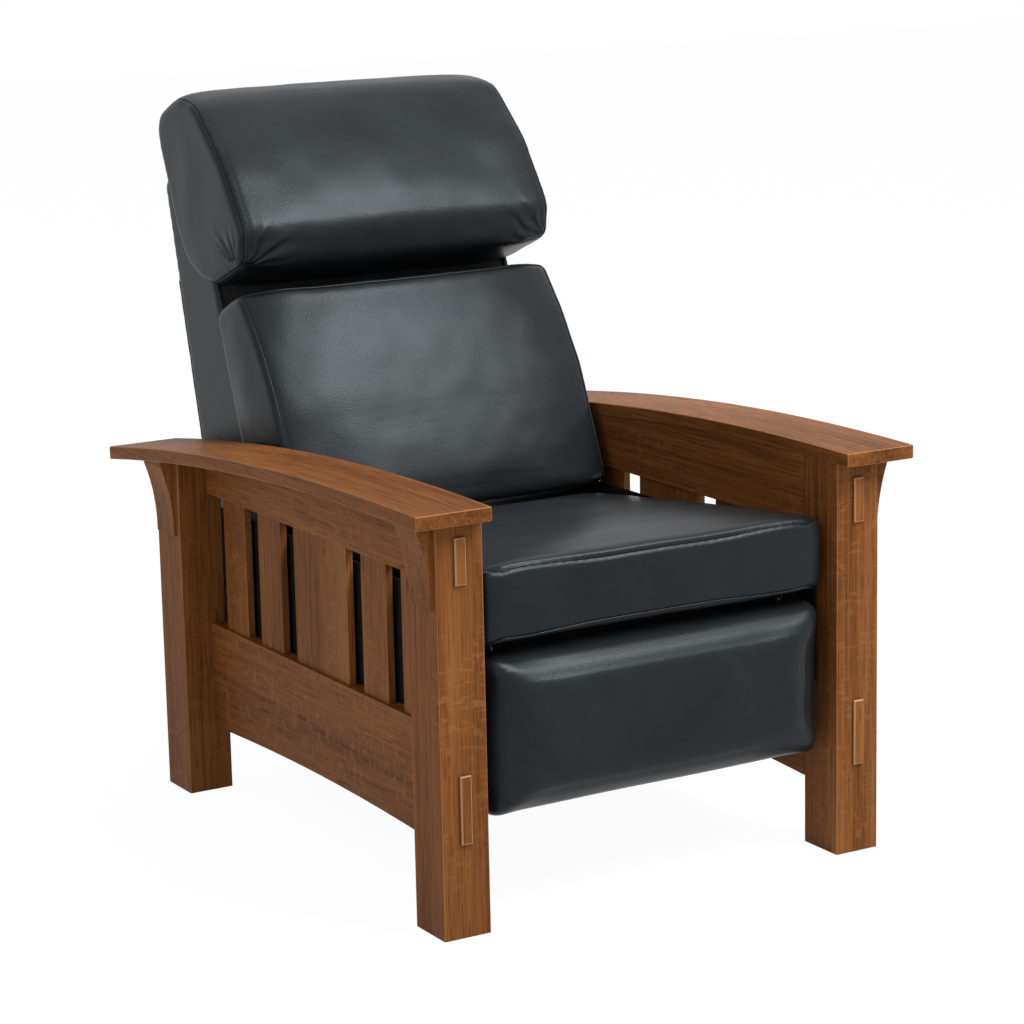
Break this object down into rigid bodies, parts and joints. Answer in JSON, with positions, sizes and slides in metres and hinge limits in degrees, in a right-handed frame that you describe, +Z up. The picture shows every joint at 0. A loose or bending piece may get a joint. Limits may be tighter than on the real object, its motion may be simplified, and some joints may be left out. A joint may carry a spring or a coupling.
{
  "type": "mission reclining armchair",
  "caption": "Oak mission armchair with slatted sides, bowed arms and dark leather cushions; the back tilts and a padded footrest folds out.",
  "frame": {"origin": "On the floor, under the middle of the chair's bounding box", "axes": "+Z up, +Y to the back of the chair, +X to the right of someone who faces the chair from the front"},
  "size_m": [0.8488, 1.115, 1.1297],
  "materials": {
    "oak": "quarter-sawn oak, medium brown stain, satin lacquer",
    "oak_inlay": "lighter oak end grain, satin lacquer",
    "frame_wood": "plain hardwood, unfinished",
    "dark_wood": "hardwood painted black, matt",
    "leather": "blue-black full grain leather, semi-matt",
    "deck_cloth": "black felted deck cloth",
    "black_steel": "black powder coat",
    "zinc_steel": "zinc plated",
    "spring_steel": "oiled spring wire"
  },
  "bodies": {
    "root": {"front_leg_left": "oak", "front_leg_right": "oak", "rear_leg_left": "oak", "rear_leg_right": "oak", "arm_left": "oak", "arm_right": "oak", "corbels": "oak", "lower_side_rail_left": "oak", "lower_side_rail_right": "oak", "upper_side_rail_left": "oak", "upper_side_rail_right": "oak", "side_slats": "oak", "rear_stretcher": "oak", "tenon_blocks": "oak_inlay", "arm_dowels": "frame_wood", "front_cross_rail": "frame_wood", "rear_cross_rail": "frame_wood", "rear_deck_rail": "frame_wood", "seat_side_rail_left": "dark_wood", "seat_side_rail_right": "dark_wood", "front_deck_rail": "dark_wood", "side_linings": "dark_wood", "seat_cushion": "leather", "deck_pad": "deck_cloth", "side_plate_left": "black_steel", "side_plate_right": "black_steel", "side_plate_screws": "zinc_steel", "back_pivot_bolts": "zinc_steel", "seat_spring_clips": "zinc_steel", "seat_springs": "spring_steel", "return_springs": "spring_steel"},
    "link_a": {"torque_tube": "black_steel", "link_a_left": "black_steel", "link_a_right": "black_steel", "link_a_rivets": "zinc_steel"},
    "link_b": {"slider_rod": "zinc_steel", "link_b_left": "black_steel", "link_b_right": "black_steel", "link_b_rivets": "zinc_steel"},
    "link_c": {"link_rod": "zinc_steel", "link_c_left": "black_steel", "link_c_right": "black_steel"},
    "footrest": {"footrest_bracket_left": "black_steel", "footrest_bracket_right": "black_steel", "footrest_screws": "zinc_steel", "footrest_board": "frame_wood", "footrest_pad": "leather"},
    "backrest": {"back_shell": "leather", "back_stile_left": "frame_wood", "back_stile_right": "frame_wood", "lower_back_rail": "frame_wood", "upper_back_rail": "frame_wood", "back_springs": "spring_steel", "back_spring_clips": "zinc_steel", "back_pad": "deck_cloth", "hinge_bracket_left": "black_steel", "hinge_bracket_right": "black_steel", "hinge_bracket_screws": "zinc_steel", "back_cushion": "leather", "headrest": "leather"}
  },
  "joints": [
    {"name": "footrest_open", "type": "hinge", "parent": "root", "child": "link_a", "pos_m": [0, -0.40451, 0.368], "axis": [-1, 0, 0], "range_deg": [0, 78]},
    {"name": "link_b_turn", "type": "hinge", "parent": "link_a", "child": "link_b", "pos_m": [0, -0.41792, 0.25882], "axis": [-1, 0, 0], "range_deg": [-156, 0]},
    {"name": "link_c_turn", "type": "hinge", "parent": "link_a", "child": "link_c", "pos_m": [0, -0.43132, 0.14964], "axis": [-1, 0, 0], "range_deg": [-156, 0]},
    {"name": "footrest_turn", "type": "hinge", "parent": "link_b", "child": "footrest", "pos_m": [0, -0.43132, 0.368], "axis": [-1, 0, 0], "range_deg": [0, 156]},
    {"name": "back_recline", "type": "hinge", "parent": "root", "child": "backrest", "pos_m": [0, 0.17049, 0.38], "axis": [-1, 0, 0], "range_deg": [0, 32], "stiffness_Nm_per_rad": 70, "springref_deg": -34.38}
  ],
  "couplings": [
    {"joint": "link_b_turn", "follows": "footrest_open", "ratio": -2},
    {"joint": "link_c_turn", "follows": "footrest_open", "ratio": -2},
    {"joint": "footrest_turn", "follows": "footrest_open", "ratio": 2}
  ]
}
